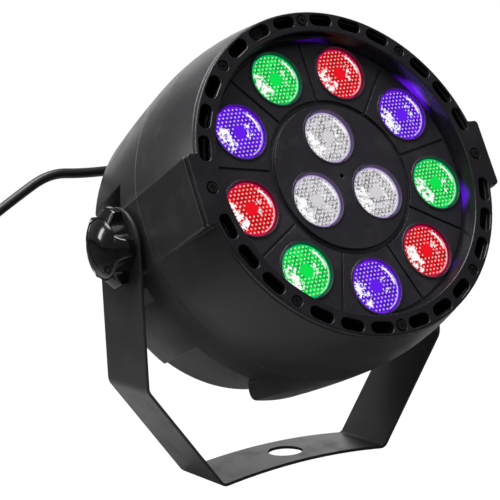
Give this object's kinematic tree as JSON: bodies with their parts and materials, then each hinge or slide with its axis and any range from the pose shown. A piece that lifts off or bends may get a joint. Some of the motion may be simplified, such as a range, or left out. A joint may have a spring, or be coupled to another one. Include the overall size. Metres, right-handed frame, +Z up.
{
  "type": "par light",
  "caption": "Round black stage lamp with a ring of coloured lenses, tilting on two hand knobs in a bent steel yoke, with a mains lead at the back.",
  "frame": {"origin": "centre of the yoke's big mounting hole, at the underside of the strap", "axes": "+Z up out of the hole towards the head, +X along the tilt axis towards the right-hand knob, -Y the way the face looks"},
  "size_m": [0.3487, 0.1953, 0.2192],
  "materials": {
    "black_plastic": "satin",
    "black_metal": "satin",
    "knob_plastic": "gloss",
    "screws_black": "satin",
    "screws_steel": "satin",
    "lens_red": "gloss",
    "lens_green": "gloss",
    "lens_blue": "gloss",
    "lens_white": "gloss",
    "led_ceramic": "gloss",
    "holder_plastic": "matte",
    "board_green": "satin",
    "board_white": "satin",
    "sink_aluminium": "satin",
    "transformer_tape": "satin",
    "capacitor_sleeve": "gloss",
    "fuse_glass": "gloss",
    "module_black": "satin",
    "button_black": "satin",
    "socket_black": "satin",
    "contact_metal": "gloss",
    "washer_rubber": "matte",
    "cord_rubber": "satin",
    "loom_sleeve": "satin"
  },
  "bodies": {
    "yoke": {"bracket": "black_metal", "mains_cord": "cord_rubber", "mains_cord_coil": "cord_rubber", "mains_cord_tail": "cord_rubber", "mains_plug": "cord_rubber", "plug_pins": "contact_metal"},
    "head": {"front_bezel": "black_plastic", "bezel_screws_large": "screws_black", "bezel_screws_small": "screws_black", "fascia_panel": "black_plastic", "lens_red_1": "lens_red", "lens_red_2": "lens_red", "lens_red_3": "lens_red", "lens_green_1": "lens_green", "lens_green_2": "lens_green", "lens_green_3": "lens_green", "lens_blue_1": "lens_blue", "lens_blue_2": "lens_blue", "lens_blue_3": "lens_blue", "lens_white_1": "lens_white", "lens_white_2": "lens_white", "lens_white_3": "lens_white", "led_emitters_red": "led_ceramic", "led_emitters_green": "led_ceramic", "led_emitters_blue": "led_ceramic", "led_emitters_white": "led_ceramic", "lens_holders": "holder_plastic", "led_board": "board_white", "heat_sink": "sink_aluminium", "board_screws": "screws_steel", "front_shell": "black_plastic", "rear_cover": "black_plastic", "rear_cover_screws": "screws_black", "supply_board": "board_green", "transformer": "transformer_tape", "filter_capacitors": "capacitor_sleeve", "supply_fuse": "fuse_glass", "control_board": "board_green", "display_module": "module_black", "display_window": "fuse_glass", "microphone": "module_black", "button_switches": "module_black", "dmx_in_socket": "socket_black", "dmx_in_pins": "contact_metal", "dmx_out_socket": "socket_black", "dmx_out_contacts": "contact_metal", "socket_screws": "screws_black", "cord_gland": "socket_black", "pivot_inserts": "screws_steel", "wire_loom": "loom_sleeve", "friction_washers": "washer_rubber"},
    "left_knob": {"knob_left": "knob_plastic", "stud_left": "screws_steel"},
    "right_knob": {"knob_right": "knob_plastic", "stud_right": "screws_steel"},
    "menu_button": {"menu_button": "button_black"},
    "down_button": {"down_button": "button_black"},
    "up_button": {"up_button": "button_black"},
    "enter_button": {"enter_button": "button_black"}
  },
  "joints": [
    {"name": "head_tilt", "type": "hinge", "parent": "yoke", "child": "head", "pos_m": [0, 0, 0.115], "axis": [1, 0, 0], "range_deg": [-68, 85]},
    {"name": "left_knob_turn", "type": "hinge", "parent": "head", "child": "left_knob", "pos_m": [-0.0871, 0, 0.115], "axis": [-1, 0, 0], "range_deg": [0, 720]},
    {"name": "right_knob_turn", "type": "hinge", "parent": "head", "child": "right_knob", "pos_m": [0.0871, 0, 0.115], "axis": [1, 0, 0], "range_deg": [0, 720]},
    {"name": "menu_press", "type": "slide", "parent": "head", "child": "menu_button", "axis": [0, -0.9011, 0.4337], "range_m": [0, 0.001], "stiffness_N_per_m": 1500, "springref_m": -0.0003},
    {"name": "down_press", "type": "slide", "parent": "head", "child": "down_button", "axis": [0, -0.9011, 0.4337], "range_m": [0, 0.001], "stiffness_N_per_m": 1500, "springref_m": -0.0003},
    {"name": "up_press", "type": "slide", "parent": "head", "child": "up_button", "axis": [0, -0.9011, 0.4337], "range_m": [0, 0.001], "stiffness_N_per_m": 1500, "springref_m": -0.0003},
    {"name": "enter_press", "type": "slide", "parent": "head", "child": "enter_button", "axis": [0, -0.9011, 0.4337], "range_m": [0, 0.001], "stiffness_N_per_m": 1500, "springref_m": -0.0003}
  ]
}
